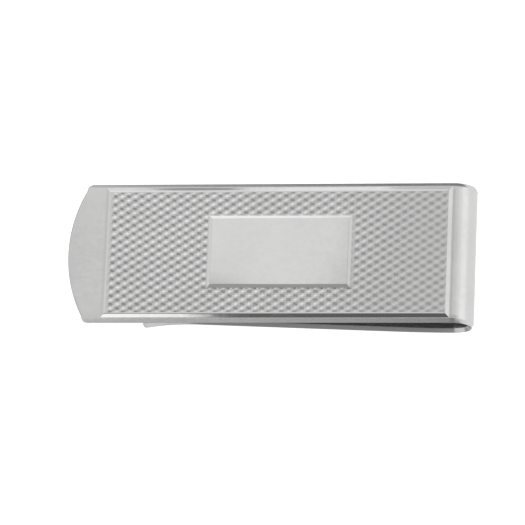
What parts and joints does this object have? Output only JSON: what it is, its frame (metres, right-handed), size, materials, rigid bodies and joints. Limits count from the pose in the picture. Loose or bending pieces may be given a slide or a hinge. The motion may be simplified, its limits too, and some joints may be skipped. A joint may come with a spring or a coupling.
{
  "type": "money clip",
  "caption": "Folded spring-strip money clip with a plain convex tab, an engine-turned panel and a blank engraving plaque.",
  "frame": {"origin": "under the middle of the closed clip, on the surface that it lies on with its front face up", "axes": "+X runs from the tab end to the bend, +Y across the strip, +Z out of the front face"},
  "size_m": [0.054, 0.019, 0.0064],
  "materials": {
    "spring_strip": "bright silver-coloured spring metal, softly polished, with fine lengthwise polishing lines",
    "turned_panel": "bright silver-coloured metal, engine-turned with a fine barleycorn, plain polished bevels",
    "plaque": "bright silver-coloured metal, satin-polished, blank for engraving",
    "solder": "thin film of bright hard solder, dull at its edge"
  },
  "bodies": {
    "rear": {"rear_leaf": "spring_strip"},
    "front": {"front_leaf": "spring_strip", "spring_bend": "spring_strip", "panel_solder": "solder", "engine_turned_panel": "turned_panel", "plaque_solder": "solder", "engraving_plaque": "plaque"}
  },
  "joints": [
    {"name": "clip_opening", "type": "hinge", "parent": "rear", "child": "front", "pos_m": [0.0241, 0, 0.0029], "axis": [0, 1, 0], "range_deg": [0, 7], "stiffness_Nm_per_rad": 2.2, "deforming": ["spring_bend"]}
  ]
}
